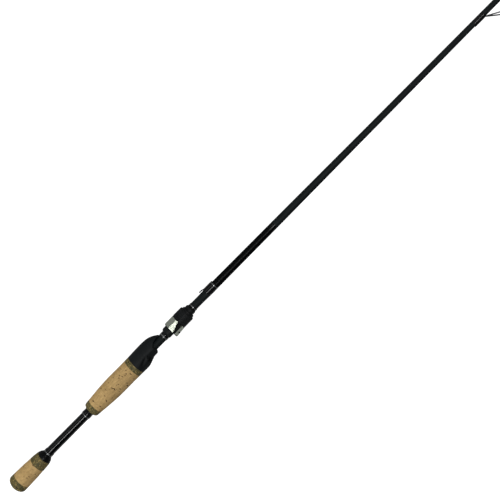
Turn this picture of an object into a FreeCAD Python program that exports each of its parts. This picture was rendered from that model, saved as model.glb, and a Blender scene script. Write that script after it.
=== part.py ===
import FreeCAD, Part
import math
import os

# One-piece spinning rod, lying on its side. X runs along the blank from the butt end (0) to the tip, +Y is the
# top of the rod, -Y is the side that carries the reel and the line guides, and +Z is up as the rod lies.
# All sizes are in millimetres. Each STEP file holds one piece, named after it.

V = FreeCAD.Vector
origin = V(0, 0, 0)
along = V(1, 0, 0)
out = "parts"
os.makedirs(out, exist_ok=True)

# Fits and glue lines
glue_gap = 0.05
slide_gap = 0.09
thread_gap = 0.2
part_gap = 0.15

# Blank: a tapered hollow tube
rod_length = 1981.0
butt_radius = 6.2
keeper_radius = 5.45
stripper_radius = 3.55
tip_radius = 0.95
butt_wall = 1.2
tip_wall = 0.6
keeper_taper_x = 372.0
stripper_taper_x = 870.0
blank_start = 5.0
tip_overhang = 7.5

# Rear grip
butt_cap_length = 13.1
rear_cork_length = 28.5
rear_cork_count = 3
rear_burl_length = 12.4
rear_check_length = 6.5
rear_grip_radius = 12.25
rear_grip_waist = 10.05
butt_face_radius = 5.6
butt_round_length = 8.3

# Fore grip
handle_gap = 76.5
fore_check_length = 3.5
fore_check_radius = 6.9
fore_tail_length = 8.9
fore_tail_radius = 10.15
fore_tail_round = 3.0
fore_cork_length = 68.6
fore_cork_count = 6
fore_burl_length = 6.8
fore_grip_radius = 13.55
seat_rear_radius = 13.85

# Decorative thread wraps with a metallic band
trim_height = 0.6
trim_length = 6.6
band_width = 1.1
band_depth = 0.38
rear_trim_offset = 2.4
fore_trim_offset = 4.9
seat_trim_offset = 3.9
front_trim_offset = 3.2

# Reel seat body, with the fixed hood that takes the rear end of a reel foot
seat_body_length = 47.4
seat_top = 14.4
seat_nose_top = 6.9
seat_nose_half_width = 7.2
saddle_radius = 9.3
saddle_length = 32.4
saddle_front_round = 3.1
saddle_side_y = -1.8
pocket_height = 2.8
pocket_half_angle = 48.0
pocket_start = 4.0
arbor_wall = 1.65
arbor_depth = 23.0

# Barrel, sliding hood and lock nut
window_length = 8.5
barrel_length = 46.8
barrel_radius = 8.3
barrel_end_radius = 6.5
barrel_round = 3.2
barrel_flat = 6.9
barrel_arbor_wall = 0.65
barrel_lip = 3.8
thread_pitch = 2.0
thread_depth = 0.7
thread_root_width = 1.1
thread_crest_width = 0.5
thread_start = 17.3
thread_length = 26.2
nut_thread_turns = 4
hood_offset = 8.1
hood_liner_length = 15.5
hood_liner_wall = 1.8
hood_cover_wall = 0.6
hood_cover_offset = 1.0
hood_cover_length = 14.0
hood_depth_rear = 12.0
hood_depth_front = 10.4
hood_half_width = 6.5
hood_edge_round = 3.0
hood_pocket_length = 12.7
hood_pocket_half_width = 5.0
hood_pocket_floor = 11.55
hood_hole_radius = 1.25
hood_hole_offset = 6.8
hood_hole_y = -10.6
neck_length = 2.7
neck_lip_length = 1.0
neck_radius = 9.35
neck_lip_height = 0.4
nut_length = 15.4
nut_radius = 11.0
nut_collar_length = 2.6
nut_collar_radius = 9.2
nut_chamfer = 0.9
flute_count = 30
flute_radius = 0.55
front_check_length = 1.3
front_check_radius = 6.9

# Hook keeper
keeper_offset = 22.9
keeper_wire_radius = 0.6
keeper_half_width = 1.5
keeper_rise = 0.5
keeper_lean = 4.2
keeper_foot_length = 12.0
keeper_wrap_length = 15.6

# Line guides: distance of the ring from the tip, and the outer size of the ring
guide_rings = ((1091.0, 25.0), (825.5, 16.0), (596.9, 12.0), (406.4, 10.0), (247.7, 8.0), (114.3, 7.0))
ring_gap = 0.03
ring_width = 2.2
ring_round = 0.5
frame_band = 0.75
frame_width = 1.7
stripper_height = 24.0
stripper_foot_length = 17.0
stripper_leg_reach = 19.5
single_foot_length = 9.0
wrap_cover = 0.45
wrap_run_out = 3.0
tip_ring_size = 6.0
tip_tube_length = 12.0
tip_tube_wall = 0.35
tip_wrap_length = 6.0


# Stations along the blank, each from the one before it
x_cap = butt_cap_length
x_rear_cork = x_cap + rear_cork_length
x_rear_burl = x_rear_cork + rear_burl_length
x_rear_check = x_rear_burl + rear_check_length
x_fore_check = x_rear_check + handle_gap
x_tail = x_fore_check + fore_check_length
x_fore_cork = x_tail + fore_tail_length
x_fore_burl = x_fore_cork + fore_cork_length
x_seat = x_fore_burl + fore_burl_length
x_seat_nose = x_seat + seat_body_length
x_barrel = x_seat_nose + window_length
x_barrel_end = x_barrel + barrel_length
x_keeper = x_barrel_end + keeper_offset
x_hood = x_barrel + hood_offset
x_hood_end = x_hood + hood_liner_length
x_nut = x_hood_end + part_gap
blank_end = rod_length - tip_overhang


def between(x, stations):
    # Value at x on straight lines through (x, value) stations.
    for (x0, v0), (x1, v1) in zip(stations, stations[1:]):
        if x <= x1:
            return v0 + (v1 - v0) * (x - x0) / (x1 - x0)
    return stations[-1][1]


blank_stations = (
    (0.0, butt_radius),
    (keeper_taper_x, keeper_radius),
    (stripper_taper_x, stripper_radius),
    (rod_length, tip_radius),
)


def blank_radius(x):
    return between(x, blank_stations)


def blank_wall(x):
    return between(x, ((0.0, butt_wall), (rod_length, tip_wall)))


def profile(start, *steps):
    # Closed face in the XY plane. A step is the next point, or a pair of points for an arc: its middle and its end.
    edges = []
    here = V(*start, 0)
    for step in steps + (start,):
        if isinstance(step[0], tuple):
            end = V(*step[1], 0)
            edges.append(Part.Arc(here, V(*step[0], 0), end).toShape())
        else:
            end = V(*step, 0)
            if here.distanceToPoint(end) > 1e-6:
                edges.append(Part.LineSegment(here, end).toShape())
        here = end
    return Part.Face(Part.Wire(edges))


def turned(start, *steps):
    # Solid of revolution about the blank's axis, from an outline of (x, radius) points.
    return profile(start, *steps).revolve(origin, along, 360)


def slab(x0, x1):
    size = 4 * seat_top
    return Part.makeBox(x1 - x0, size, size, V(x0, -size / 2, -size / 2))


def cylinder(x0, x1, radius, y=0.0):
    return Part.makeCylinder(radius, x1 - x0, V(x0, y, 0), along)


def blank_form(x0, x1, gap):
    # The blank's outer shape between two stations, grown by a gap.
    inner = [x for x, _ in blank_stations if x0 < x < x1]
    top = [(x, blank_radius(x) + gap) for x in [x0] + inner + [x1]]
    return turned((x0, 0.0), *top, (x1, 0.0))


def bored(solid):
    # Clears a solid for the blank, with the glue line round it.
    box = solid.BoundBox
    return solid.cut(blank_form(box.XMin - 1, box.XMax + 1, glue_gap))


def bar(start, end, radius):
    return Part.makeCylinder(radius, start.distanceToPoint(end), start, end - start)


def save(name, solid):
    solid.exportStep(os.path.join(out, name + ".step"))


def make_blank():
    outer = blank_form(blank_start, blank_end, 0.0)
    stations = [blank_start] + [x for x, _ in blank_stations[1:-1]] + [blank_end]
    bore = [(x, blank_radius(x) - blank_wall(x)) for x in stations]
    save("blank", outer.cut(turned((blank_start, 0.0), *bore, (blank_end, 0.0))))


def make_rear_grip():
    form = turned(
        (0.0, 0.0),
        (0.0, butt_face_radius),
        ((butt_round_length * 0.37, rear_grip_radius - 2.05), (butt_round_length, rear_grip_radius)),
        ((x_rear_burl * 0.67, rear_grip_radius - 0.5), (x_rear_burl, rear_grip_waist)),
        (x_rear_burl, 0.0),
    )
    rest = blank_form(blank_start - glue_gap, x_rear_burl + 1, glue_gap)
    form = form.cut(rest)
    save("butt_burl_cap", form.common(slab(0.0, x_cap)))
    ring = rear_cork_length / rear_cork_count
    for i in range(rear_cork_count):
        x = x_cap + i * ring
        save(f"rear_cork_ring_{i + 1}", form.common(slab(x, x + ring)))
    save("rear_burl_ring", form.common(slab(x_rear_cork, x_rear_burl)))
    end_radius = blank_radius(x_rear_check) + 0.5
    check = turned(
        (x_rear_burl, 0.0),
        (x_rear_burl, rear_grip_waist),
        (x_rear_burl + rear_check_length * 0.4, rear_grip_waist - 0.6),
        ((x_rear_burl + rear_check_length * 0.72, rear_grip_waist - 2.2), (x_rear_check, end_radius)),
        (x_rear_check, 0.0),
    )
    save("rear_grip_check", bored(check))


def make_fore_grip():
    check = turned(
        (x_fore_check, 0.0),
        (x_fore_check, blank_radius(x_fore_check) + 0.3),
        (x_tail, fore_check_radius),
        (x_tail, 0.0),
    )
    save("fore_grip_check", bored(check))
    start = x_tail + fore_tail_round
    span = x_seat - start
    curve = Part.BSplineCurve()
    swell = ((0.0, 0.0), (0.19, 0.42), (0.38, 0.8), (0.57, 0.98), (1.0, 1.0))
    rise = fore_grip_radius - fore_tail_radius
    points = [V(start + span * along_it, fore_tail_radius + rise * share, 0) for along_it, share in swell]
    points[-1] = V(x_seat, seat_rear_radius, 0)
    curve.interpolate(points)
    tail_arc = Part.Arc(
        V(x_tail, fore_check_radius, 0),
        V(x_tail + fore_tail_round * 0.25, fore_tail_radius - 0.9, 0),
        V(start, fore_tail_radius, 0),
    )
    corners = (V(x_seat, seat_rear_radius, 0), V(x_seat, 0, 0), V(x_tail, 0, 0), V(x_tail, fore_check_radius, 0))
    edges = [tail_arc.toShape(), curve.toShape()]
    edges += [Part.LineSegment(a, b).toShape() for a, b in zip(corners, corners[1:])]
    form = bored(Part.Face(Part.Wire(edges)).revolve(origin, along, 360))
    save("fore_grip_tail", form.common(slab(x_tail, x_fore_cork)))
    ring = fore_cork_length / fore_cork_count
    for i in range(fore_cork_count):
        x = x_fore_cork + i * ring
        save(f"fore_cork_ring_{i + 1}", form.common(slab(x, x + ring)))
    save("fore_burl_ring", form.common(slab(x_fore_burl, x_seat)))


def make_trim(name, x, x_start, x_end):
    # A short thread wrap under a domed coat, with a metallic band let into it at x.
    base = blank_radius(x)
    low = base + trim_height * 0.4
    high = base + trim_height
    coat = turned(
        (x_start, 0.0),
        (x_start, low),
        (((x_start + x_end) / 2, high), (x_end, low)),
        (x_end, 0.0),
    )
    band = cylinder(x - band_width / 2, x + band_width / 2, high)
    band = band.cut(cylinder(x - band_width, x + band_width, high - band_depth))
    save(name + "_wrap", bored(coat).cut(band))
    save(name + "_band", band)


def make_trims():
    rear = x_rear_check + rear_trim_offset
    make_trim("rear_trim", rear, x_rear_check, x_rear_check + trim_length * 0.8)
    fore = x_fore_check - fore_trim_offset
    make_trim("fore_trim", fore, x_fore_check - trim_length, x_fore_check)
    seat = x_barrel - seat_trim_offset
    make_trim("seat_trim", seat, x_barrel - trim_length, x_barrel)
    front_start = x_barrel_end + front_check_length
    make_trim("front_trim", x_barrel_end + front_trim_offset, front_start, front_start + trim_length * 0.6)


def oval(x, top, half_width, bottom):
    # Closed smooth section across the blank, higher or lower on each side of its widest line.
    points = []
    for i in range(24):
        angle = 2 * math.pi * i / 24
        reach = top if math.cos(angle) > 0 else bottom
        points.append(V(x, reach * math.cos(angle), half_width * math.sin(angle)))
    curve = Part.BSplineCurve()
    curve.interpolate(points, PeriodicFlag=True)
    return Part.Wire(curve.toShape())


def make_seat_body():
    sections = (
        (0.0, seat_rear_radius, seat_rear_radius, seat_rear_radius),
        (0.25, seat_top - 0.2, 13.3, 13.85),
        (0.46, seat_top, 12.2, 13.3),
        (0.65, seat_top - 0.4, 10.9, 12.2),
        (0.8, seat_top - 2.0, 9.7, 11.0),
        (0.92, seat_top - 5.0, 8.4, 10.0),
        (1.0, seat_nose_top, seat_nose_half_width, 9.0),
    )
    wires = [oval(x_seat + seat_body_length * share, top, wide, low) for share, top, wide, low in sections]
    form = Part.makeLoft(wires, True, False)
    # Seen from the side, the hood's mouth slants, its cheek ends above the saddle, and the nose sweeps over the blank.
    side = profile(
        (x_seat - 1.0, -16.0),
        (x_seat + 5.5, -16.0),
        (x_seat + 22.7, -9.6),
        (x_seat + 18.6, -6.3),
        ((x_seat + 19.2, -3.0), (x_seat + 22.7, saddle_side_y)),
        (x_seat + 32.0, saddle_side_y),
        ((x_seat + 35.2, 2.9), (x_seat + 46.6, 5.2)),
        (x_seat + seat_body_length + 1.0, 5.3),
        (x_seat + seat_body_length + 1.0, 18.0),
        (x_seat - 1.0, 18.0),
    )
    side.translate(V(0, 0, -20))
    form = form.common(side.extrude(V(0, 0, 40)))
    saddle = turned(
        (x_seat + pocket_start, 0.0),
        (x_seat + pocket_start, saddle_radius),
        (x_seat + saddle_length - saddle_front_round, saddle_radius),
        (
            (x_seat + saddle_length - saddle_front_round * 0.29, saddle_radius - saddle_front_round * 0.29),
            (x_seat + saddle_length, saddle_radius - saddle_front_round),
        ),
        (x_seat + saddle_length, 0.0),
    )
    below = Part.makeBox(saddle_length, 12, 24, V(x_seat, saddle_side_y - 12, -12))
    form = form.fuse(saddle.common(below))
    # The fixed hood's pocket is a curved slot round the blank, open towards the tip.
    mouth = Part.Face(
        Part.makePolygon(
            [
                V(x_seat + pocket_start, -saddle_radius, 0),
                V(x_seat + saddle_length, -saddle_radius, 0),
                V(x_seat + saddle_length, -saddle_radius - pocket_height, 0),
                V(x_seat + pocket_start, -saddle_radius - pocket_height, 0),
                V(x_seat + pocket_start, -saddle_radius, 0),
            ]
        )
    )
    mouth.rotate(origin, along, -pocket_half_angle)
    form = form.cut(mouth.revolve(origin, along, 2 * pocket_half_angle))
    arbor_end = x_seat + arbor_depth
    arbor_radius = blank_radius(x_seat) + arbor_wall
    form = bored(form).cut(cylinder(x_seat - 1, arbor_end, arbor_radius + glue_gap))
    save("reel_seat_body", form)
    save("reel_seat_arbor", bored(cylinder(x_seat + glue_gap, arbor_end - glue_gap, arbor_radius)))


def thread_ridge(x, turns, base_radius, top_radius, base_width, top_width):
    # A right-hand helical ridge round X, from a base radius to a top radius.
    helix = Part.makeHelix(thread_pitch, thread_pitch * turns, base_radius)
    section = Part.makePolygon(
        [
            V(base_radius, 0, -base_width / 2),
            V(top_radius, 0, -top_width / 2),
            V(top_radius, 0, top_width / 2),
            V(base_radius, 0, base_width / 2),
            V(base_radius, 0, -base_width / 2),
        ]
    )
    ridge = Part.Wire(helix).makePipeShell([section], True, True)
    # The helix is made round Z and then laid along X.
    ridge.rotate(origin, V(0, 1, 0), 90)
    ridge.translate(V(x, 0, 0))
    return ridge


def barrel_key(x0, x1, radius, flat):
    # Round bar with one flat on the reel side.
    bar_form = cylinder(x0, x1, radius)
    cutter = Part.makeBox(x1 - x0, radius, 4 * radius, V(x0, -flat - radius, -2 * radius))
    return bar_form.cut(cutter)


def make_barrel():
    root_radius = barrel_radius - thread_depth
    x_thread = x_barrel + thread_start
    x_thread_end = x_thread + thread_length
    form = turned(
        (x_barrel, 0.0),
        (x_barrel, barrel_end_radius),
        ((x_barrel + barrel_round * 0.35, barrel_radius - 0.55), (x_barrel + barrel_round, barrel_radius)),
        (x_thread - thread_pitch, barrel_radius),
        (x_thread - thread_pitch + thread_depth, root_radius),
        (x_barrel_end - 1.6, root_radius),
        ((x_barrel_end - 0.4, root_radius - 0.4), (x_barrel_end, barrel_end_radius)),
        (x_barrel_end, 0.0),
    )
    turns = (x_thread_end - x_thread) / thread_pitch
    sunk = 0.25
    ridge = thread_ridge(
        x_thread, turns, root_radius - sunk, barrel_radius, thread_root_width + sunk, thread_crest_width
    )
    form = form.fuse(ridge)
    form = form.common(barrel_key(x_barrel, x_barrel_end, barrel_radius + 1, barrel_flat))
    bush_radius = blank_radius(x_barrel) + barrel_arbor_wall
    form = bored(form).cut(cylinder(x_barrel + barrel_lip, x_barrel_end + 1, bush_radius + glue_gap))
    save("seat_barrel", form)
    bush = cylinder(x_barrel + barrel_lip + glue_gap, x_barrel_end, bush_radius)
    save("barrel_arbor", bored(bush))
    check = turned(
        (x_barrel_end, 0.0),
        (x_barrel_end, front_check_radius - 0.2),
        (x_barrel_end + front_check_length, blank_radius(x_barrel_end) + 0.5),
        (x_barrel_end + front_check_length, 0.0),
    )
    save("front_check", bored(check))


def hood_form(x0, x1, radius, grow):
    # Round shell with a bulge on the reel side, deeper at its rear mouth than at its front.
    slope = (hood_depth_front - hood_depth_rear) / hood_liner_length
    rear = hood_depth_rear + slope * (x0 - x_hood) + grow
    front = hood_depth_rear + slope * (x1 - x_hood) + grow
    half = hood_half_width + grow
    side = profile((x0, 0.0), (x0, -rear), (x1, -front), (x1, 0.0))
    side.translate(V(0, 0, -half))
    bulge = side.extrude(V(0, 0, 2 * half))
    lower = [e for e in bulge.Edges if is_bulge_corner(e)]
    bulge = bulge.makeFillet(hood_edge_round + grow, lower)
    return cylinder(x0, x1, radius).fuse(bulge).removeSplitter()


def is_bulge_corner(edge):
    # The two long edges of the bulge, away from the blank.
    ends = [v.Point for v in edge.Vertexes]
    long = abs(ends[0].x - ends[-1].x) > 1.0
    return long and max(p.y for p in ends) < -1.0


def make_hood():
    bore_radius = barrel_radius + slide_gap
    liner_radius = bore_radius + hood_liner_wall
    neck_end = x_hood_end + neck_length
    liner = hood_form(x_hood, x_hood_end, liner_radius, 0.0)
    neck = cylinder(x_hood_end - 0.5, neck_end, neck_radius)
    lip = cylinder(neck_end - neck_lip_length, neck_end, neck_radius + neck_lip_height)
    liner = liner.fuse([neck, lip])
    liner = liner.cut(barrel_key(x_hood - 1, neck_end + 1, bore_radius, barrel_flat + slide_gap))
    pocket = Part.makeBox(
        hood_pocket_length + 1,
        hood_pocket_floor - barrel_flat + 2,
        2 * hood_pocket_half_width,
        V(x_hood - 1, -hood_pocket_floor, -hood_pocket_half_width),
    )
    save("hood_liner", liner.cut(pocket))
    x0 = x_hood + hood_cover_offset
    x1 = x0 + hood_cover_length
    cover = hood_form(x0, x1, liner_radius + hood_cover_wall, hood_cover_wall)
    inside = hood_form(x_hood, x_hood_end, liner_radius + glue_gap, glue_gap)
    hole = Part.makeCylinder(hood_hole_radius, 40, V(x_hood + hood_hole_offset, hood_hole_y, -20), V(0, 0, 1))
    save("hood_cover", cover.cut(inside).cut(hole))


def make_nut():
    x_end = x_nut + nut_length
    bore_radius = barrel_radius + thread_gap
    form = turned(
        (x_nut, 0.0),
        (x_nut, nut_radius - nut_chamfer / 2),
        (x_nut + nut_chamfer / 2, nut_radius),
        (x_end - nut_chamfer, nut_radius),
        (x_end, nut_radius - nut_chamfer),
        (x_end, nut_collar_radius),
        (x_end + nut_collar_length, nut_collar_radius - 0.3),
        (x_end + nut_collar_length, 0.0),
    )
    form = form.cut(cylinder(x_nut - 1, x_end + nut_collar_length + 1, bore_radius))
    # The hood's neck snaps into this recess, so the nut turns on it and carries it along.
    recess_end = x_hood_end + neck_length + part_gap
    lip_start = recess_end - neck_lip_length - 2 * part_gap
    form = form.cut(cylinder(x_nut - 1, recess_end, neck_radius + slide_gap))
    form = form.cut(cylinder(lip_start, recess_end, neck_radius + neck_lip_height + slide_gap))
    flutes = []
    for i in range(flute_count):
        angle = 2 * math.pi * i / flute_count
        place = V(x_nut - 1, nut_radius * math.cos(angle), nut_radius * math.sin(angle))
        flutes.append(Part.makeCylinder(flute_radius, nut_length - nut_chamfer + 1, place, along))
    form = form.cut(flutes)
    # The nut's own thread fills the groove between two turns of the barrel's.
    turns_in = math.ceil((recess_end + 1.0 - x_barrel - thread_start) / thread_pitch)
    x_thread = x_barrel + thread_start + (turns_in + 0.5) * thread_pitch
    sunk = 0.25
    ridge = thread_ridge(
        x_thread,
        nut_thread_turns,
        bore_radius + sunk,
        barrel_radius - thread_depth + thread_gap,
        thread_root_width - 0.35,
        thread_crest_width - 0.2,
    )
    save("lock_nut", form.fuse(ridge))


def offset_wrap(x0, x1, side, foot_height):
    # Thread wrap over a foot: round, but shifted towards the foot's side of the blank.
    middle = blank_radius((x0 + x1) / 2)
    shift = foot_height / 2
    radius = middle + shift + wrap_cover
    end = radius - wrap_cover * 0.6
    ramp = 2.0
    form = turned(
        (x0, 0.0),
        (x0, end),
        (x0 + ramp, radius),
        (x1 - ramp, radius),
        (x1, end),
        (x1, 0.0),
    )
    form.translate(V(0, side * shift, 0))
    return bored(form)


def make_keeper():
    x_foot = x_keeper + keeper_lean + keeper_half_width
    y = blank_radius(x_foot) + keeper_wire_radius + glue_gap
    pieces = []
    for side in (-1, 1):
        z = side * keeper_half_width
        foot = V(x_foot, y, z)
        top = V(x_foot - keeper_lean, y + keeper_rise, z)
        pieces.append(bar(V(x_foot + keeper_foot_length, y, z), foot, keeper_wire_radius))
        pieces.append(bar(foot, top, keeper_wire_radius))
        pieces.append(Part.makeSphere(keeper_wire_radius, foot))
    # The loop's end is a half ring in the same slanted plane as its sides.
    lean = math.degrees(math.atan2(keeper_rise, keeper_lean))
    bend = Part.makeTorus(keeper_half_width, keeper_wire_radius, origin, V(0, 1, 0), 0, 360, 360)
    bend = bend.common(Part.makeBox(10, 10, 20, V(-10, -5, -10)))
    bend.rotate(origin, V(0, 0, 1), -lean)
    bend.translate(V(x_foot - keeper_lean, y + keeper_rise, 0))
    keeper = bend.fuse(pieces)
    save("hook_keeper", keeper)
    x0 = x_foot
    x1 = x0 + keeper_wrap_length
    wrap = offset_wrap(x0, x1, 1, 2 * keeper_wire_radius)
    x_band = x1 - band_width
    band = wrap.common(slab(x_band - band_width, x_band))
    band = band.cut(cylinder(x_band - band_width, x_band, blank_radius(x_band) + wrap_cover / 2))
    save("keeper_wrap", wrap.cut(keeper).cut(band))
    save("keeper_band", band)


def ring_bore(size):
    # Inner radius of a guide ring: small rings have thinner walls.
    return size / 2 - (0.7 + 0.08 * size)


def ring_solid(x, y, size):
    inner = ring_bore(size)
    half = ring_width / 2
    ring = Part.makeCylinder(size / 2, ring_width, V(x - half, y, 0), along)
    ring = ring.cut(Part.makeCylinder(inner, ring_width, V(x - half, y, 0), along))
    rims = [e for e in ring.Edges if isinstance(e.Curve, Part.Circle)]
    return ring.makeFillet(ring_round, rims)


def frame_hoop(x, y, size):
    inner = size / 2 + ring_gap
    hoop = Part.makeCylinder(inner + frame_band, frame_width, V(x - frame_width / 2, y, 0), along)
    return hoop.cut(Part.makeCylinder(inner, frame_width, V(x - frame_width / 2, y, 0), along))


def foot_solid(x_leg, x_free, height, width):
    # Flat foot that thins towards its free end and is hollowed to sit on the blank.
    base = -blank_radius(x_leg)
    free = -blank_radius(x_free)
    side = profile(
        (x_leg, base + 0.5 * height),
        (x_leg, base - height),
        (x_free, free - 0.3 * height),
        (x_free, free + 0.5 * height),
    )
    side.translate(V(0, 0, -width / 2))
    return bored(side.extrude(V(0, 0, width)))


def make_guide(name, x, size, height, feet):
    # A ceramic ring in a wire frame on one or two feet. feet lists (direction, leg reach, foot length, leg angle).
    y = -blank_radius(x) - height
    wire = 0.35 + 0.02 * size
    foot_height = 0.5 + 0.02 * size
    foot_width = 1.2 + 0.06 * size
    frame = frame_hoop(x, y, size)
    hoop_radius = size / 2 + ring_gap + frame_band / 2
    wraps = []
    for direction, reach, foot_length, spread in feet:
        x_leg = x + direction * reach
        x_free = x_leg + direction * foot_length
        frame = frame.fuse(foot_solid(x_leg, x_free, foot_height, foot_width))
        y_foot = -blank_radius(x_leg) - wire
        for side in (-1, 1) if spread else (0,):
            angle = math.radians(spread) * side
            top = V(x, y + (hoop_radius + wire / 2) * math.cos(angle), hoop_radius * math.sin(angle))
            low = V(x_leg + direction * wire, y_foot, side * (foot_width / 2 - wire * 0.8))
            frame = frame.fuse([bar(top, low, wire), Part.makeSphere(wire, low)])
        wraps.append((x_leg + direction * 2 * wire, x_free + direction * wrap_run_out))
    frame = bored(frame)
    save(name + "_frame", frame.cut(Part.makeCylinder(size / 2 + ring_gap, 60, V(x - 30, y, 0), along)))
    save(name + "_ring", ring_solid(x, y, size))
    for i, ends in enumerate(wraps):
        wrap = offset_wrap(min(ends), max(ends), -1, foot_height).cut(frame)
        tail = f"_wrap_{i + 1}" if len(wraps) > 1 else "_wrap"
        save(name + tail, wrap)


def make_guides():
    for i, (from_tip, size) in enumerate(guide_rings):
        x = rod_length - from_tip
        if i == 0:
            feet = (
                (-1, stripper_leg_reach, stripper_foot_length, 42.0),
                (1, stripper_leg_reach * 0.45, stripper_foot_length, 0.0),
            )
            make_guide("stripper_guide", x, size, stripper_height, feet)
        else:
            height = size * 0.95 + 0.6
            feet = ((1, height * 0.6, single_foot_length + 0.2 * size, 38.0),)
            make_guide(f"guide_{i + 1}", x, size, height, feet)


def make_tip_top():
    size = tip_ring_size
    x0 = blank_end - tip_tube_length
    outer = blank_radius(x0) + glue_gap + tip_tube_wall
    cap = 0.8
    tube = bored(cylinder(x0, blank_end, outer)).fuse(cylinder(blank_end, blank_end + cap, outer))
    x = rod_length - ring_width / 2
    y = -(size / 2 + ring_gap + frame_band + outer * 0.6)
    hoop_radius = size / 2 + ring_gap + frame_band / 2
    wire = 0.45
    frame = tube.fuse(frame_hoop(x, y, size))
    for side in (-1, 1):
        start = V(blank_end, 0, side * (outer - wire * 0.6))
        end = V(x, y + hoop_radius * 0.55, side * hoop_radius * 0.85)
        frame = frame.fuse([bar(start, end, wire), Part.makeSphere(wire, end)])
    keel = bar(V(blank_end - 5, -outer * 0.8, 0), V(x, y - hoop_radius, 0), wire)
    frame = bored(frame.fuse(keel).common(slab(x0, rod_length)).cut(blank_form(x0, blank_end, 0.0)))
    frame = frame.cut(Part.makeCylinder(size / 2 + ring_gap, 60, V(x - 30, y, 0), along))
    save("tip_top_frame", frame)
    save("tip_top_ring", ring_solid(x, y, size))
    wrap = cylinder(x0 - tip_wrap_length, x0, blank_radius(x0) + wrap_cover)
    save("tip_top_wrap", bored(wrap))


make_blank()
make_rear_grip()
make_fore_grip()
make_trims()
make_seat_body()
make_barrel()
make_hood()
make_nut()
make_keeper()
make_guides()
make_tip_top()
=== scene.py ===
import math

import bpy
import numpy as np
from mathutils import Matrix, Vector, noise


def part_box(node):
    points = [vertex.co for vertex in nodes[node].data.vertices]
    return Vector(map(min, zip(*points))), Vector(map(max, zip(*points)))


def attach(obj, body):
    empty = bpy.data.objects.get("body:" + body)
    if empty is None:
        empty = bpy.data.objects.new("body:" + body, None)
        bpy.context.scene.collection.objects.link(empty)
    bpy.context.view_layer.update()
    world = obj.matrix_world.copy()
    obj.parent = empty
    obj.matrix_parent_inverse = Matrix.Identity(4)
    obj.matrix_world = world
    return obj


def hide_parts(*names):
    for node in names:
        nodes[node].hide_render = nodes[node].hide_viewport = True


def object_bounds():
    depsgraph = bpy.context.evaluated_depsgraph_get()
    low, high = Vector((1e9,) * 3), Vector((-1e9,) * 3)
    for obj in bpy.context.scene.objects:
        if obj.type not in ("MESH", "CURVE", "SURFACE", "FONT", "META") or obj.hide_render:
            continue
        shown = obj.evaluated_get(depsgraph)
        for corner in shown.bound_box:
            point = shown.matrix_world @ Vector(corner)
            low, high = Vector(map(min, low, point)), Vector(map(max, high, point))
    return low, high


# Spinning rod on a light table. X runs along the blank to the tip, +Y is the side away from the reel,
# and Z is up.
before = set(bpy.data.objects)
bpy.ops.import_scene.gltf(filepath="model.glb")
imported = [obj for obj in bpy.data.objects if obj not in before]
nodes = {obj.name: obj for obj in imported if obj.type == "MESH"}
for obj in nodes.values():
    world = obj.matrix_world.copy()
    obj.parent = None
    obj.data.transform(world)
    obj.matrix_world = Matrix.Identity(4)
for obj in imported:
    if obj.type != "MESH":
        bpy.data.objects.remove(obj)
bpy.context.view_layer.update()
print("frame loaded", len(nodes), "pieces")


def addNode(tree, kind, values=None, **settings):
    node = tree.nodes.new(kind)
    for key, value in settings.items():
        setattr(node, key, value)
    for key, value in (values or {}).items():
        node.inputs[key].default_value = value
    return node


def join(tree, source, target):
    tree.links.new(source, target)


def mathNode(tree, operation, first, second=0.0, clamp=False):
    node = addNode(tree, "ShaderNodeMath", operation=operation, use_clamp=clamp)
    for socket, value in zip(node.inputs, (first, second)):
        if isinstance(value, (int, float)):
            socket.default_value = value
        else:
            join(tree, value, socket)
    return node.outputs[0]


def mixColour(tree, factor, first, second, blend="MIX"):
    node = addNode(tree, "ShaderNodeMix", data_type="RGBA", blend_type=blend)
    for socket, value in zip((node.inputs[0], node.inputs[6], node.inputs[7]), (factor, first, second)):
        if isinstance(value, (int, float)):
            socket.default_value = value
        elif isinstance(value, tuple):
            socket.default_value = (*value, 1.0)
        else:
            join(tree, value, socket)
    return node.outputs[2]


def ramp(tree, source, low, high, start=0.0, end=1.0):
    node = addNode(tree, "ShaderNodeMapRange", {1: low, 2: high, 3: start, 4: end}, clamp=True)
    join(tree, source, node.inputs[0])
    return node.outputs[0]


def noiseAt(tree, vector, scale, detail=3.0, roughness=0.55):
    node = addNode(tree, "ShaderNodeTexNoise", {"Scale": scale, "Detail": detail, "Roughness": roughness})
    join(tree, vector, node.inputs["Vector"])
    return node.outputs[0]


def stretched(tree, vector, scale):
    node = addNode(tree, "ShaderNodeMapping", {"Scale": scale})
    join(tree, vector, node.inputs["Vector"])
    return node.outputs[0]


def bandsAlong(tree, vector, scale, distortion):
    node = addNode(
        tree, "ShaderNodeTexWave", {"Scale": scale, "Distortion": distortion}, wave_type="BANDS", bands_direction="X"
    )
    join(tree, vector, node.inputs["Vector"])
    return node.outputs["Fac"]


def bumpFrom(tree, height, distance, strength=1.0):
    node = addNode(tree, "ShaderNodeBump", {"Strength": strength, "Distance": distance})
    join(tree, height, node.inputs["Height"])
    return node.outputs[0]


def newMaterial(name, **shader):
    material = bpy.data.materials.new(name)
    material.use_nodes = True
    tree = material.node_tree
    surface = tree.nodes["Principled BSDF"]
    for key, value in shader.items():
        surface.inputs[key].default_value = value
    place = addNode(tree, "ShaderNodeTexCoord").outputs["Object"]
    return material, tree, surface, place


def linear(red, green, blue):
    # A colour as a paint chart gives it, 0 to 255, turned into the renderer's own scale
    curve = lambda c: ((c / 255 + 0.055) / 1.055) ** 2.4 if c > 10 else c / 255 / 12.92
    return tuple(curve(c) for c in (red, green, blue))


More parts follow.
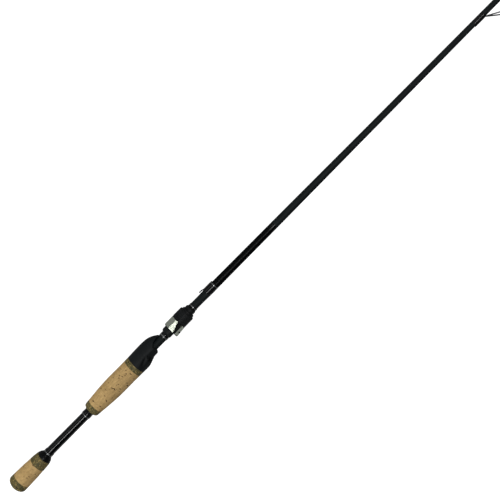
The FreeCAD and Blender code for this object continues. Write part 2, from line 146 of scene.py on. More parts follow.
# Fine moulded grain: a height and a soft mask, shared by the plastics and rubbers
def makeGrainGroup():
    group = bpy.data.node_groups.new("fineGrain", "ShaderNodeTree")
    for name, value in (("Grain Scale", 2500.0), ("Cloud Scale", 120.0)):
        socket = group.interface.new_socket(name, in_out="INPUT", socket_type="NodeSocketFloat")
        socket.default_value = value
    group.interface.new_socket("Place", in_out="INPUT", socket_type="NodeSocketVector")
    for name in ("Height", "Cloud"):
        group.interface.new_socket(name, in_out="OUTPUT", socket_type="NodeSocketFloat")
    start, end = addNode(group, "NodeGroupInput"), addNode(group, "NodeGroupOutput")
    grain = addNode(group, "ShaderNodeTexNoise", {"Detail": 2.0, "Roughness": 0.6})
    cloud = addNode(group, "ShaderNodeTexNoise", {"Detail": 4.0, "Roughness": 0.55})
    for texture, scale in ((grain, "Grain Scale"), (cloud, "Cloud Scale")):
        join(group, start.outputs["Place"], texture.inputs["Vector"])
        join(group, start.outputs[scale], texture.inputs["Scale"])
    join(group, grain.outputs[0], end.inputs["Height"])
    join(group, cloud.outputs[0], end.inputs["Cloud"])
    return group


grainGroup = makeGrainGroup()


def useGrain(tree, place, grainScale, cloudScale):
    node = addNode(tree, "ShaderNodeGroup")
    node.node_tree = grainGroup
    node.inputs["Grain Scale"].default_value = grainScale
    node.inputs["Cloud Scale"].default_value = cloudScale
    join(tree, place, node.inputs["Place"])
    return node.outputs["Height"], node.outputs["Cloud"]


corkLook = {
    "light": linear(199, 167, 113),
    "mid": linear(175, 145, 95),
    "dark": linear(130, 101, 62),
    "pit": linear(62, 44, 26),
}


def makeCork():
    material, tree, surface, place = newMaterial("naturalCork", Roughness=0.78)
    tone = addNode(tree, "ShaderNodeAttribute", attribute_name="ringTone").outputs["Fac"]
    pit = addNode(tree, "ShaderNodeAttribute", attribute_name="pitDepth").outputs["Fac"]
    broad = noiseAt(tree, stretched(tree, place, (0.5, 1.0, 1.0)), 420.0, 4.0)
    fine = noiseAt(tree, place, 1700.0, 3.0, 0.65)
    streaks = noiseAt(tree, stretched(tree, place, (3.0, 0.7, 0.7)), 900.0, 2.0)
    colour = mixColour(tree, ramp(tree, broad, 0.35, 0.68), corkLook["mid"], corkLook["light"])
    colour = mixColour(tree, ramp(tree, fine, 0.52, 0.74, 0.0, 0.75), colour, corkLook["dark"])
    colour = mixColour(tree, ramp(tree, streaks, 0.6, 0.72, 0.0, 0.5), colour, corkLook["dark"])
    warm = mixColour(tree, tone, (0.95, 0.94, 0.92), (1.04, 1.04, 1.03))
    colour = mixColour(tree, 1.0, colour, warm, "MULTIPLY")
    colour = mixColour(tree, pit, colour, corkLook["pit"])
    join(tree, colour, surface.inputs["Base Color"])
    join(tree, ramp(tree, fine, 0.3, 0.7, 0.68, 0.9), surface.inputs["Roughness"])
    height = mathNode(tree, "SUBTRACT", fine, pit)
    join(tree, bumpFrom(tree, height, 0.00012, 0.6), surface.inputs["Normal"])
    return material


burlLook = {
    "base": linear(106, 96, 60),
    "light": linear(150, 130, 78),
    "olive": linear(80, 76, 46),
    "dark": linear(40, 38, 24),
    "chipScale": 760.0,
    "raggedBy": 0.0011,
}


def makeBurl():
    material, tree, surface, place = newMaterial("rubberisedCork", Roughness=0.7)
    pit = addNode(tree, "ShaderNodeAttribute", attribute_name="pitDepth").outputs["Fac"]
    ragged = addNode(tree, "ShaderNodeTexNoise", {"Scale": 1300.0, "Detail": 3.0})
    join(tree, place, ragged.inputs["Vector"])
    push = addNode(tree, "ShaderNodeVectorMath", operation="MULTIPLY_ADD")
    push.inputs[1].default_value = (burlLook["raggedBy"],) * 3
    join(tree, ragged.outputs["Color"], push.inputs[0])
    join(tree, place, push.inputs[2])
    chips = addNode(tree, "ShaderNodeTexVoronoi", {"Scale": burlLook["chipScale"], "Randomness": 1.0})
    join(tree, push.outputs[0], chips.inputs["Vector"])
    shade = addNode(tree, "ShaderNodeSeparateColor")
    join(tree, chips.outputs["Color"], shade.inputs[0])
    edges = addNode(tree, "ShaderNodeTexVoronoi", {"Scale": burlLook["chipScale"]}, feature="DISTANCE_TO_EDGE")
    join(tree, push.outputs[0], edges.inputs["Vector"])
    fine = noiseAt(tree, place, 2600.0, 3.0)
    colour = mixColour(tree, ramp(tree, shade.outputs[0], 0.35, 0.75), burlLook["olive"], burlLook["base"])
    colour = mixColour(tree, ramp(tree, shade.outputs[1], 0.7, 0.9), colour, burlLook["light"])
    seam = ramp(tree, edges.outputs["Distance"], 0.0, 0.07, 0.55, 0.0)
    colour = mixColour(tree, seam, colour, burlLook["dark"])
    colour = mixColour(tree, ramp(tree, fine, 0.5, 0.72, 0.0, 0.5), colour, burlLook["dark"])
    colour = mixColour(tree, pit, colour, burlLook["dark"])
    join(tree, colour, surface.inputs["Base Color"])
    join(tree, ramp(tree, shade.outputs[2], 0.0, 1.0, 0.55, 0.8), surface.inputs["Roughness"])
    height = mathNode(tree, "SUBTRACT", ramp(tree, edges.outputs["Distance"], 0.0, 0.12), pit)
    join(tree, bumpFrom(tree, height, 0.00008, 0.5), surface.inputs["Normal"])
    return material


def makeMoulded(name, colour, roughness, bump, grainScale=2600.0, specular=0.5, recessShaded=False):
    material, tree, surface, place = newMaterial(name)
    surface.inputs["Specular IOR Level"].default_value = specular
    height, cloud = useGrain(tree, place, grainScale, 90.0)
    lighter = tuple(c * 1.45 + 0.001 for c in colour)
    tone = mixColour(tree, ramp(tree, cloud, 0.35, 0.7), colour, lighter)
    # Painted shade: a point attribute on the seat darkens its groove and the corner under the hood's lip towards
    # near black, and roughens them.
    if recessShaded:
        shade = addNode(tree, "ShaderNodeAttribute", attribute_name="recessShade").outputs["Fac"]
        tone = mixColour(tree, shade, tone, linear(2, 2, 2))
    join(tree, tone, surface.inputs["Base Color"])
    rough = ramp(tree, cloud, 0.3, 0.7, roughness - 0.05, roughness + 0.07)
    if recessShaded:
        rough = mathNode(tree, "MAXIMUM", rough, shade)
    join(tree, rough, surface.inputs["Roughness"])
    join(tree, bumpFrom(tree, height, 0.00004, bump), surface.inputs["Normal"])
    return material


# Satin carbon, with a clear coat over the bare lower handle and over the label area
blankLook = {
    "satin": linear(23, 28, 29),
    "streak": linear(29, 34, 35),
    "gloss": linear(1, 2, 3),
    "satinRoughness": 0.55,
    "glossRoughness": 0.09,
    "filmRoughness": 0.34,
    "labelCoat": 0.7,
    "tapeScale": 105.0,
    "tapeShare": 0.35,
    "fibreDepth": 0.000015,
    "maskEdge": 0.0003,
}


def spanMask(tree, x, span):
    soft = blankLook["maskEdge"]
    rise = ramp(tree, x, span[0] - soft, span[0] + soft)
    fall = ramp(tree, x, span[1] - soft, span[1] + soft, 1.0, 0.0)
    return mathNode(tree, "MULTIPLY", rise, fall)


def makeBlankMaterial(lowerSpan, labelSpan):
    material, tree, surface, place = newMaterial("satinCarbon")
    surface.inputs["Specular IOR Level"].default_value = 0.16
    surface.inputs["Coat Roughness"].default_value = 0.06
    surface.inputs["Coat IOR"].default_value = 1.58
    split = addNode(tree, "ShaderNodeSeparateXYZ")
    join(tree, place, split.inputs[0])
    x = split.outputs[0]
    lowerMask = spanMask(tree, x, lowerSpan)
    labelMask = spanMask(tree, x, labelSpan)
    gloss = mathNode(tree, "MAXIMUM", lowerMask, labelMask)
    fibres = noiseAt(tree, stretched(tree, place, (0.02, 1.0, 1.0)), 2600.0, 2.0, 0.6)
    clouds = noiseAt(tree, stretched(tree, place, (0.3, 1.0, 1.0)), 160.0, 3.0)
    # Tape lines left by the cello wrap run round the satin blank as a very shallow spiral.
    tape = bandsAlong(tree, place, blankLook["tapeScale"], 0.15)
    satin = mixColour(tree, ramp(tree, fibres, 0.4, 0.7), blankLook["satin"], blankLook["streak"])
    satin = mixColour(tree, ramp(tree, clouds, 0.35, 0.7, 0.0, 0.35), satin, blankLook["gloss"])
    colour = mixColour(tree, gloss, satin, blankLook["gloss"])
    join(tree, colour, surface.inputs["Base Color"])
    satin = blankLook["satinRoughness"]
    satinRough = ramp(tree, clouds, 0.3, 0.7, satin - 0.04, satin + 0.05)
    rough = mixColour(tree, labelMask, satinRough, (blankLook["filmRoughness"],) * 3)
    rough = mixColour(tree, lowerMask, rough, (blankLook["glossRoughness"],) * 3)
    join(tree, rough, surface.inputs["Roughness"])
    # The label's film is thinner than the coat on the handle and shines only at its front end.
    labelEnd = ramp(tree, x, labelSpan[1] - 0.010, labelSpan[1] - 0.002, 0.0, blankLook["labelCoat"])
    coat = mathNode(tree, "MAXIMUM", lowerMask, mathNode(tree, "MULTIPLY", labelMask, labelEnd))
    join(tree, coat, surface.inputs["Coat Weight"])
    matte = mathNode(tree, "SUBTRACT", 1.0, gloss)
    height = mathNode(tree, "ADD", fibres, mathNode(tree, "MULTIPLY", tape, blankLook["tapeShare"]))
    height = mathNode(tree, "MULTIPLY", height, matte)
    join(tree, bumpFrom(tree, height, blankLook["fibreDepth"], 0.35), surface.inputs["Normal"])
    return material


threadLook = {
    "between": linear(3, 3, 4),
    "thread": linear(17, 18, 20),
    "worn": linear(12, 12, 13),
    "turnScale": 900.0,
    "depth": 0.00004,
}


def makeThread():
    material, tree, surface, place = newMaterial("threadUnderEpoxy", Roughness=0.5)
    surface.inputs["Coat Weight"].default_value = 1.0
    surface.inputs["Coat Roughness"].default_value = 0.04
    surface.inputs["Specular IOR Level"].default_value = 0.1
    turns = bandsAlong(tree, place, threadLook["turnScale"], 0.3)
    worn = noiseAt(tree, place, 500.0, 2.0)
    colour = mixColour(tree, turns, threadLook["between"], threadLook["thread"])
    colour = mixColour(tree, ramp(tree, worn, 0.5, 0.8, 0.0, 0.4), colour, threadLook["worn"])
    join(tree, colour, surface.inputs["Base Color"])
    join(tree, ramp(tree, worn, 0.3, 0.7, 0.35, 0.55), surface.inputs["Roughness"])
    join(tree, bumpFrom(tree, turns, threadLook["depth"], 0.4), surface.inputs["Normal"])
    return material


def makeMetal(name, colour, roughness, brushed):
    material, tree, surface, place = newMaterial(name, Metallic=1.0)
    height, cloud = useGrain(tree, stretched(tree, place, brushed), 1800.0, 70.0)
    darker = tuple(c * 0.82 for c in colour)
    join(tree, mixColour(tree, ramp(tree, cloud, 0.3, 0.7), darker, colour), surface.inputs["Base Color"])
    join(tree, ramp(tree, height, 0.3, 0.7, roughness * 0.75, roughness * 1.3), surface.inputs["Roughness"])
    join(tree, bumpFrom(tree, height, 0.000006, 0.25), surface.inputs["Normal"])
    return material


# The sliding hood's side is pressed flat: a bright panel that narrows towards the nut.
panelLook = {
    "top": 0.0036,  # the panel's upper edge
    "lowRear": -0.0047,  # its lower edge, which climbs towards the nut
    "lowFront": 0.0006,
    "bottom": -0.0074,  # where the bulge begins
    "soft": 0.00015,
    "inner": 0.004,
    "steelDark": linear(206, 213, 198),
    "steelLight": linear(222, 229, 212),
    "paintedShadow": linear(96, 99, 94),
}
panelLeans = {"bright": 0.0, "upper": 0.5, "lower": -0.84, "bulge": -0.25}


def makeHoodSteel(rear, front):
    material, tree, surface, place = newMaterial("hoodSteel", Metallic=1.0)
    height, cloud = useGrain(tree, stretched(tree, place, (1.0, 0.15, 0.15)), 1500.0, 60.0)
    join(tree, ramp(tree, cloud, 0.3, 0.7, 0.3, 0.36), surface.inputs["Roughness"])
    split = addNode(tree, "ShaderNodeSeparateXYZ")
    join(tree, place, split.inputs[0])
    x, y, z = split.outputs
    low = ramp(tree, x, rear, front, panelLook["lowRear"], panelLook["lowFront"])
    soft = panelLook["soft"]
    top = ramp(tree, y, panelLook["top"] - soft, panelLook["top"] + soft)
    above = ramp(tree, mathNode(tree, "SUBTRACT", y, low), -soft, soft)
    bottom = ramp(tree, y, panelLook["bottom"] - soft, panelLook["bottom"] + soft)
    outer = ramp(tree, mathNode(tree, "ABSOLUTE", z), panelLook["inner"], panelLook["inner"] + soft)
    sideMask = mathNode(tree, "MULTIPLY", outer, bottom)
    below = mathNode(tree, "SUBTRACT", 1.0, bottom)
    # Painted shadow: the lower flat, under the climbing edge, gets a darker grey in place of the steel colour.
    shade = mathNode(tree, "MULTIPLY", sideMask, mathNode(tree, "SUBTRACT", 1.0, above))
    steel = mixColour(tree, ramp(tree, cloud, 0.3, 0.7), panelLook["steelDark"], panelLook["steelLight"])
    join(tree, mixColour(tree, shade, steel, panelLook["paintedShadow"]), surface.inputs["Base Color"])
    # Four flats, each with its own lean: the lower one, the bright one over it, the upper one,
    # and the bulge's side
    bright = panelLeans["bright"]
    toBright = mathNode(tree, "MULTIPLY", above, bright - panelLeans["lower"])
    toUpper = mathNode(tree, "MULTIPLY", top, panelLeans["upper"] - bright)
    onBulge = mathNode(tree, "MULTIPLY", below, panelLeans["bulge"])
    lean = mathNode(tree, "ADD", mathNode(tree, "ADD", panelLeans["lower"], toBright), toUpper)
    lean = mathNode(tree, "ADD", mathNode(tree, "MULTIPLY", lean, bottom), onBulge)
    flat = addNode(tree, "ShaderNodeCombineXYZ")
    join(tree, lean, flat.inputs[1])
    join(tree, mathNode(tree, "SIGN", z), flat.inputs[2])
    turned = addNode(
        tree, "ShaderNodeVectorTransform", vector_type="NORMAL", convert_from="OBJECT", convert_to="WORLD"
    )
    join(tree, flat.outputs[0], turned.inputs[0])
    mixed = addNode(tree, "ShaderNodeMix", data_type="VECTOR")
    join(tree, outer, mixed.inputs[0])
    join(tree, addNode(tree, "ShaderNodeNewGeometry").outputs["Normal"], mixed.inputs[4])
    join(tree, turned.outputs[0], mixed.inputs[5])
    bump = addNode(tree, "ShaderNodeBump", {"Strength": 0.2, "Distance": 0.000006})
    join(tree, height, bump.inputs["Height"])
    join(tree, mixed.outputs[1], bump.inputs["Normal"])
    join(tree, bump.outputs[0], surface.inputs["Normal"])
    return material


def makeCeramic():
    material, tree, surface, place = newMaterial("ringCeramic")
    surface.inputs["Coat Weight"].default_value = 0.6
    surface.inputs["Coat Roughness"].default_value = 0.03
    height, cloud = useGrain(tree, place, 3000.0, 200.0)
    join(tree, mixColour(tree, cloud, linear(34, 35, 38), linear(58, 60, 64)), surface.inputs["Base Color"])
    join(tree, ramp(tree, cloud, 0.3, 0.7, 0.12, 0.22), surface.inputs["Roughness"])
    join(tree, bumpFrom(tree, height, 0.000004, 0.2), surface.inputs["Normal"])
    return material


def endX(name):
    low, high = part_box(name)
    return low.x, high.x


lowerSpan = (endX("rear_grip_check")[1], endX("fore_grip_check")[0])
labelStart = endX("keeper_wrap")[1]
labelLength = 0.1098
labelSpan = (labelStart - 0.001, labelStart + labelLength)
cork = makeCork()
burl = makeBurl()
blankMaterial = makeBlankMaterial(lowerSpan, labelSpan)
thread = makeThread()
ceramic = makeCeramic()
seatBlack = makeMoulded("softTouchBlack", linear(19, 22, 23), 0.55, 0.35, specular=0.22, recessShaded=True)
nutBlack = makeMoulded("nutBlack", linear(19, 21, 22), 0.48, 0.15, specular=0.22)
checkBlack = makeMoulded("checkBlack", linear(11, 12, 13), 0.3, 0.1, 1800.0, specular=0.22)
bushGrey = makeMoulded("bushGrey", linear(60, 60, 60), 0.8, 0.6)
hoodSteel = makeHoodSteel(*endX("hood_cover"))
silverTrim = makeMetal("silverTrim", linear(186, 190, 190), 0.36, (1.0, 0.2, 0.2))
smokedSteel = makeMetal("smokedSteel", linear(92, 94, 98), 0.24, (1.0, 0.3, 0.3))
keeperSteel = makeMetal("keeperSteel", linear(128, 132, 132), 0.34, (0.3, 1.0, 1.0))
print("materials made", len(bpy.data.materials))


weldGap = 0.000002


def dress(obj, material):
    obj.data.materials.clear()
    obj.data.materials.append(material)
    for polygon in obj.data.polygons:
        polygon.material_index = 0


def outlineOf(name):
    # The largest radius at each station of a turned piece, as rising (x, radius) rows,
    # and its bore at each end
    points = np.array([v.co for v in nodes[name].data.vertices])
    radius = np.hypot(points[:, 1], points[:, 2])
    stations = np.round(points[:, 0], 6)
    ends = stations.min(), stations.max()
    bores = [radius[stations == x].min() for x in ends]
    rows = [(x, radius[stations == x].max()) for x in np.unique(stations)]
    wallStart = max(bores) + 0.0002  # nearer the axis it is the bore
    rows = np.array([row for row in rows if row[1] > wallStart or row[0] in ends])
    return rows, bores


def turnedMesh(name, stations, radii, bores, segments, shape=None):
    # A closed ring of quads: an outer wall through the stations, flat ends and a straight bore.
    # shape(x, angle, radius) may move the outer wall and say how deep a pit is there.
    loop = list(zip(stations, radii)) + [(stations[-1], bores[1]), (stations[0], bores[0])]
    angles = np.arange(segments) * 2 * math.pi / segments
    verts, depths = [], []
    for i, (x, radius) in enumerate(loop):
        onWall = 0 < i < len(stations) - 1
        for angle in angles:
            moved, depth = shape(x, angle, radius) if shape and onWall else (radius, 0.0)
            verts.append((x, moved * math.cos(angle), moved * math.sin(angle)))
            depths.append(depth)
    count = len(loop)
    faces = []
    for i in range(count):
        nextRow = (i + 1) % count
        for j in range(segments):
            k = (j + 1) % segments
            faces.append((i * segments + j, i * segments + k, nextRow * segments + k, nextRow * segments + j))
    mesh = bpy.data.meshes.new(name)
    mesh.from_pydata(verts, [], faces)
    attribute = mesh.attributes.new("pitDepth", "FLOAT", "POINT")
    attribute.data.foreach_set("value", np.array(depths, np.float32))
    mesh.update()
    for polygon in mesh.polygons:
        polygon.use_smooth = True
    return mesh


def placePiece(name, mesh, body, cadNode, material):
    obj = bpy.data.objects.new(name, mesh)
    bpy.context.scene.collection.objects.link(obj)
    dress(obj, material)
    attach(obj, body)
    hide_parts(cadNode)
    return obj


def sharpEnds(obj, angle=40.0):
    modifier = obj.modifiers.new("edges", "BEVEL")
    modifier.width = 0.00018
    modifier.segments = 2
    modifier.limit_method = "ANGLE"
    modifier.angle_limit = math.radians(angle)
    obj.modifiers.new("shading", "WEIGHTED_NORMAL").keep_sharp = False


corkShape = {
    "lump": 0.00009,  # how far the turned wall wanders
    "lumpScale": 160,
    "corkPit": 0.00032,
    "burlPit": 0.00018,
    "corkLevel": 0.43,  # higher leaves fewer pits
    "burlLevel": 0.52,
    "pitScale": 330.0,
    "pitLength": 1.7,
    "pitWidth": 0.8,
    "pitEdge": 0.16,
    "segments": 220,
    "step": 0.00036,
}

# The grips are turned a little proud of their fittings, with a full corner at the butt:
# distance along the rod, and what it adds to the radius.
gripSwell = (
    (0.0, 0.0), (0.0032, 0.0014), (0.0048, 0.0014), (0.0085, 0.0007), (0.02, 0.00025),
    (0.038, 0.0001), (0.047, 0.0005), (0.054, 0.0003),
    (0.136, 0.0005), (0.144, 0.0008), (0.164, 0.0007), (0.19, 0.0005), (0.206, 0.0001), (0.222, 0.0002),
)


def corkWall(seed, pitLevel, pitSize):
    offset = Vector((seed * 0.37, seed * 1.91, seed * 0.73))
    lump, lumpScale, pitScale = corkShape["lump"], corkShape["lumpScale"], corkShape["pitScale"]
    pitLength, pitWidth = corkShape["pitLength"], corkShape["pitWidth"]

    def shape(x, angle, radius):
        y, z = radius * math.cos(angle), radius * math.sin(angle)
        swell = noise.noise(Vector((x * lumpScale, y * lumpScale, z * lumpScale)) + offset) * lump
        # Pores run round the grip, so their cells are stretched across the rod.
        cell = Vector((x * pitScale * pitLength, y * pitScale * pitWidth, z * pitScale * pitWidth))
        spot = noise.noise(cell + offset)
        depth = min(1.0, max(0.0, (spot - pitLevel) / corkShape["pitEdge"]))
        return radius + swell - pitSize * depth, depth

    return shape


def makeGripRings():
    corkNodes = [n for n in nodes if "_cork_ring_" in n]
    burlNodes = ["butt_burl_cap", "rear_burl_ring", "fore_grip_tail", "fore_burl_ring"]
    for index, name in enumerate(sorted(corkNodes) + burlNodes):
        rows, bores = outlineOf(name)
        isCork = name in corkNodes
        count = max(4, int((rows[-1, 0] - rows[0, 0]) / corkShape["step"]))
        stations = np.linspace(rows[0, 0], rows[-1, 0], count)
        radii = np.interp(stations, rows[:, 0], rows[:, 1]) + np.interp(stations, *zip(*gripSwell))
        kind = "cork" if isCork else "burl"
        shape = corkWall(index + 1, corkShape[kind + "Level"], corkShape[kind + "Pit"])
        mesh = turnedMesh(name + "_look", stations, radii, bores, corkShape["segments"], shape)
        tone = mesh.attributes.new("ringTone", "FLOAT", "POINT")
        value = 0.5 + 0.5 * math.sin(index * 2.4)  # each ring is cut from another board
        tone.data.foreach_set("value", np.full(len(mesh.vertices), value, np.float32))
        material, slot = (cork, "cork") if isCork else (burl, "burl_cork")
        placePiece(name + "_turned", mesh, "rod", name, material)


makeGripRings()
print("grips turned")


# The finish builds up over the label and thins out towards the first guide.
blankShape = {
    "coatFrom": endX("front_trim_wrap")[1] + 0.012,
    "coatFull": (endX("keeper_wrap")[0], 0.5),
    "coatGone": 0.65,
    "coat": 0.0003,
    "stations": 400,
    "segments": 72,
}


def makeBlank():
    rows, bores = outlineOf("blank")
    stations = np.linspace(rows[0, 0], rows[-1, 0], blankShape["stations"])
    radii = np.interp(stations, rows[:, 0], rows[:, 1])
    coat = blankShape["coat"]
    ends = (blankShape["coatFrom"], *blankShape["coatFull"], blankShape["coatGone"])
    radii = radii + np.interp(stations, ends, (0.0, coat, coat, 0.0))
    mesh = turnedMesh("blank_look", stations, radii, bores, blankShape["segments"])
    obj = placePiece("blank_tube", mesh, "rod", "blank", blankMaterial)
    sharpEnds(obj)


makeBlank()


# The seat's body is moulded with soft edges, and has a finger groove down each side.
seatLook = {
    "voxel": 0.0003,
    "smoothing": 11,
    "swell": 0.0003,
    "grooveStart": (0.0045, -0.0078),  # from the body's rear end, and from the axis
    "grooveEnd": (0.0190, -0.0021),
    "grooveDepth": 0.001,
    "grooveWidth": 0.0021,
    "grooveRadius": 0.0095,  # nearer the axis the groove doesn't reach
    "grooveSoft": 0.001,
    "grooveEnds": 0.1,
    "grooveShade": 0.6,
    "paintedShadeAt": (0.0183, -0.0082),
    "paintedShadeSize": (0.0026, 0.0017),
}


def remeshed(source):
    obj = bpy.data.objects.new(source.name + "_copy", source.data.copy())
    bpy.context.scene.collection.objects.link(obj)
    obj.modifiers.new("weld", "WELD").merge_threshold = weldGap
    # A small swell first, so that the thin lips stay thicker than a voxel.
    swell = obj.modifiers.new("swell", "DISPLACE")
    swell.strength = seatLook["swell"]
    swell.mid_level = 0.0
    skin = obj.modifiers.new("skin", "REMESH")
    skin.mode = "VOXEL"
    skin.voxel_size = seatLook["voxel"]
    soft = obj.modifiers.new("soft", "SMOOTH")
    soft.factor = 0.5
    soft.iterations = seatLook["smoothing"]
    graph = bpy.context.evaluated_depsgraph_get()
    made = bpy.data.meshes.new_from_object(obj.evaluated_get(graph))
    bpy.data.objects.remove(obj)
    for polygon in made.polygons:
        polygon.use_smooth = True
    return made


def makeSeatBody():
    mesh = remeshed(nodes["reel_seat_body"])
    rear = np.array((endX("reel_seat_body")[0], 0.0))
    start, end = rear + seatLook["grooveStart"], rear + seatLook["grooveEnd"]
    points = np.zeros(len(mesh.vertices) * 3)
    mesh.vertices.foreach_get("co", points)
    points = points.reshape(-1, 3)
    line = end - start
    share = np.clip(((points[:, :2] - start) @ line) / (line @ line), 0, 1)
    distance = np.linalg.norm(points[:, :2] - start - share[:, None] * line, axis=1)
    radius = np.hypot(points[:, 1], points[:, 2])
    outside = np.clip((radius - seatLook["grooveRadius"]) / seatLook["grooveSoft"], 0, 1)
    ends = seatLook["grooveEnds"]
    fade = np.sin(np.pi * (share * (1 - 2 * ends) + ends))
    inward = seatLook["grooveDepth"] * fade * outside * np.exp(-((distance / seatLook["grooveWidth"]) ** 2))
    points[:, 1] -= inward * points[:, 1] / radius
    points[:, 2] -= inward * points[:, 2] / radius
    # Painted shade: the groove and the corner under the fixed hood's lip get a near-black colour and a rougher
    # finish.
    reach = (points[:, :2] - rear - seatLook["paintedShadeAt"]) / seatLook["paintedShadeSize"]
    corner = np.exp(-((reach**2).sum(axis=1) ** 2))
    paintedShade = np.maximum(corner, seatLook["grooveShade"] * inward / seatLook["grooveDepth"])
    recessShade = mesh.attributes.new("recessShade", "FLOAT", "POINT")
    recessShade.data.foreach_set("value", paintedShade.astype(np.float32))
    mesh.vertices.foreach_set("co", points.ravel())
    mesh.update()
    placePiece("reel_seat_moulding", mesh, "rod", "reel_seat_body", seatBlack)


makeSeatBody()
print("seat body moulded")


# The hook keeper is one bent wire: its feet lie on the blank, and its bend stands off it.
keeperLook = {
    "wire": 0.00085,
    "sides": 14,
    "half": 0.0014,  # half the loop's width
    "foot": 0.00066,
    "rise": 0.0017,
    "ramp": 0.0018,
    "bendLength": 0.0014,
    "footEnd": 0.0002,  # how far the feet stop short under the wrap
    "rampStart": 0.0003,
    "corner": 0.8,  # how wide the bend is, as a share of the loop
}


def sweptWire(name, path, radius, sides):
    # A round wire along a path of points, with a flat cap at each end.
    verts, faces = [], []
    side = Vector((0, 1, 0))
    for i, point in enumerate(path):
        ahead = (path[min(i + 1, len(path) - 1)] - path[max(i - 1, 0)]).normalized()
        side = (side - ahead * side.dot(ahead)).normalized()
        other = ahead.cross(side)
        for j in range(sides):
            angle = 2 * math.pi * j / sides
            verts.append(point + radius * (math.cos(angle) * side + math.sin(angle) * other))
    for i in range(len(path) - 1):
        for j in range(sides):
            k = (j + 1) % sides
            faces.append((i * sides + j, i * sides + k, (i + 1) * sides + k, (i + 1) * sides + j))
    faces.append(tuple(reversed(range(sides))))
    faces.append(tuple(range((len(path) - 1) * sides, len(path) * sides)))
    mesh = bpy.data.meshes.new(name)
    mesh.from_pydata(verts, [], faces)
    mesh.update()
    for polygon in mesh.polygons:
        polygon.use_smooth = True
    return mesh


def smoothPath(points, rounds):
    # Corner cutting, with the two ends kept
    for _ in range(rounds):
        cut = [points[0]]
        for first, second in zip(points, points[1:]):
            cut += [first.lerp(second, 0.25), first.lerp(second, 0.75)]
        points = [*cut, points[-1]]
    return points


def makeKeeper():
    low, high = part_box("hook_keeper")
    wrapStart = endX("keeper_wrap")[0]
    half, wire = keeperLook["half"], keeperLook["wire"]
    floor = low.y + keeperLook["foot"]
    top = low.y + keeperLook["rise"]
    side = [
        (high.x - keeperLook["footEnd"], floor),
        (wrapStart + keeperLook["rampStart"], floor),
        (wrapStart - keeperLook["ramp"], top),
        (low.x + keeperLook["bendLength"], top + 0.0001),
    ]
    rear = low.x + wire * 0.6
    path = [Vector((x, y, half)) for x, y in side]
    corner = half * keeperLook["corner"]
    bend = [(rear, corner), (rear - 0.0002, 0.0), (rear, -corner)]
    path += [Vector((x, top, z)) for x, z in bend]
    path += [Vector((x, y, -half)) for x, y in reversed(side)]
    mesh = sweptWire("keeper_look", smoothPath(path, 3), wire, keeperLook["sides"])
    placePiece("keeper_wire", mesh, "rod", "hook_keeper", keeperSteel)


makeKeeper()


# The other pieces keep their shape and get a finish and soft edges.
def softenEdges(obj, width, angle=32.0):
    obj.modifiers.new("weld", "WELD").merge_threshold = weldGap
    bevel = obj.modifiers.new("edges", "BEVEL")
    bevel.width = width
    bevel.segments = 2
    bevel.limit_method = "ANGLE"
    bevel.angle_limit = math.radians(angle)
    obj.modifiers.new("shading", "WEIGHTED_NORMAL").keep_sharp = False
    for polygon in obj.data.polygons:
        polygon.use_smooth = True


def finishOf(name):
    if name.endswith("_band"):
        return silverTrim, 0.00006
    if "_wrap" in name:
        return thread, 0.00012
    if name.endswith("_ring"):
        return ceramic, 0.0
    if name.endswith("_frame"):
        return smokedSteel, 0.00006
    if name.endswith("_check"):
        return checkBlack, 0.00015
    if name.endswith("_arbor"):
        return bushGrey, 0.0001
    special = {
        "hood_cover": (hoodSteel, 0.0001),
        "lock_nut": (nutBlack, 0.00009),
        "hood_liner": (nutBlack, 0.0001),
        "seat_barrel": (nutBlack, 0.00006),
    }
    return special[name]


for name, obj in nodes.items():
    if obj.hide_render:
        continue
    material, width = finishOf(name)
    dress(obj, material)
    if width:
        softenEdges(obj, width)
    else:
        for polygon in obj.data.polygons:
            polygon.use_smooth = True
print("finishes on")


def makeFloor():
    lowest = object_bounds()[0].z
    mesh = bpy.data.meshes.new("light_table")
    size = 12.0
    corners = [(-size, -size, 0), (size, -size, 0), (size, size, 0), (-size, size, 0)]
    mesh.from_pydata(corners, [], [(0, 1, 2, 3)])
    floor = bpy.data.objects.new("light_table", mesh)
    floor.location.z = lowest - 0.0003
    bpy.context.scene.collection.objects.link(floor)
    material = bpy.data.materials.new("lightTable")
    material.use_nodes = True
    tree = material.node_tree
    tree.nodes.clear()
    seen = addNode(tree, "ShaderNodeLightPath")
    paint = addNode(tree, "ShaderNodeBsdfDiffuse", {"Color": (0.28, 0.28, 0.28, 1)})
    lit = addNode(tree, "ShaderNodeEmission", {"Color": (1, 1, 1, 1), "Strength": 1.02})
    both = addNode(tree, "ShaderNodeAddShader")
    mixed = addNode(tree, "ShaderNodeMixShader")
    end = addNode(tree, "ShaderNodeOutputMaterial")
    join(tree, paint.outputs[0], both.inputs[0])
    join(tree, lit.outputs[0], both.inputs[1])
    join(tree, seen.outputs["Is Camera Ray"], mixed.inputs[0])
    join(tree, paint.outputs[0], mixed.inputs[1])
    join(tree, both.outputs[0], mixed.inputs[2])
    join(tree, mixed.outputs[0], end.inputs[0])
    floor.data.materials.append(material)


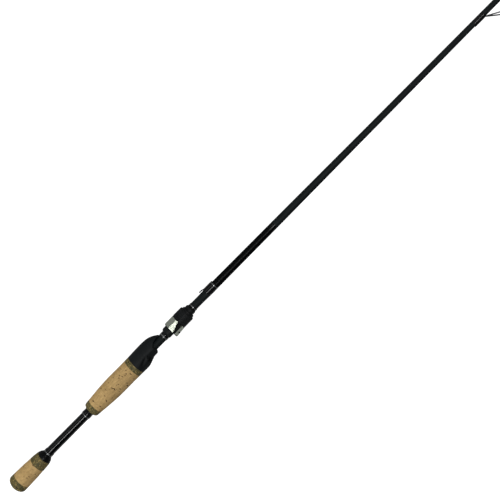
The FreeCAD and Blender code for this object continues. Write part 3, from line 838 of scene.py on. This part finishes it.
def makeWorld():
    world = bpy.data.worlds.new("studio")
    bpy.context.scene.world = world
    world.use_nodes = True
    tree = world.node_tree
    tree.nodes.clear()
    seen = addNode(tree, "ShaderNodeLightPath")
    room = addNode(tree, "ShaderNodeBackground", {"Color": (0.9, 0.95, 1, 1), "Strength": 0.02})
    backdrop = addNode(tree, "ShaderNodeBackground", {"Color": (1, 1, 1, 1), "Strength": 1.0})
    mixed = addNode(tree, "ShaderNodeMixShader")
    end = addNode(tree, "ShaderNodeOutputWorld")
    join(tree, seen.outputs["Is Camera Ray"], mixed.inputs[0])
    join(tree, room.outputs[0], mixed.inputs[1])
    join(tree, backdrop.outputs[0], mixed.inputs[2])
    join(tree, mixed.outputs[0], end.inputs[0])


butt, middle, tip = (0.2, 0.0, 0.0), (0.6, 0.0, 0.0), (1.2, 0.0, 0.0)
# Each lamp's place, what it points at, its two sides, its power, and whether it shines in the gloss.
# The last four only even out the light on the cork and the plastics.
lamps = {
    "strip": ((0.6, -0.22, 1.75), middle, 3.4, 0.16, 17.0, True),
    "upperSide": ((0.6, 1.6, 1.7), middle, 3.6, 1.6, 5.0, True),
    "buttKey": ((-1.25, 1.0, 1.0), butt, 0.6, 0.6, 22.0, False),
    "tipKey": ((3.2, 1.4, 1.3), tip, 0.8, 0.8, 26.0, False),
    "buttFill": ((-1.25, -1.0, 1.0), butt, 0.6, 0.6, 9.0, False),
    "tipFill": ((3.2, -1.4, 1.3), tip, 0.8, 0.8, 10.0, False),
}


def addLight(name, location, target, size, sizeY, power, glossy):
    data = bpy.data.lights.new(name, "AREA")
    data.shape = "RECTANGLE"
    data.size, data.size_y = size, sizeY
    data.energy = power
    lamp = bpy.data.objects.new(name, data)
    lamp.location = location
    lamp.rotation_euler = (Vector(target) - Vector(location)).to_track_quat("-Z", "Y").to_euler()
    lamp.visible_camera = False
    lamp.visible_glossy = glossy
    bpy.context.scene.collection.objects.link(lamp)


cameraLook = {"x": 0.4358, "y": -0.0005, "distance": 0.92, "lens": 50.7, "roll": -45.276}


def makeCamera():
    data = bpy.data.cameras.new("camera")
    data.sensor_width = 36.0
    data.lens = cameraLook["lens"]
    data.clip_start = 0.01
    camera = bpy.data.objects.new("camera", data)
    camera.location = (cameraLook["x"], cameraLook["y"], cameraLook["distance"])
    camera.rotation_euler = (0.0, 0.0, math.radians(cameraLook["roll"]))
    bpy.context.scene.collection.objects.link(camera)
    bpy.context.scene.camera = camera


makeFloor()
makeWorld()
for name, settings in lamps.items():
    addLight(name, *settings)
makeCamera()
bpy.context.scene.view_settings.view_transform = "Standard"
print("stage set")
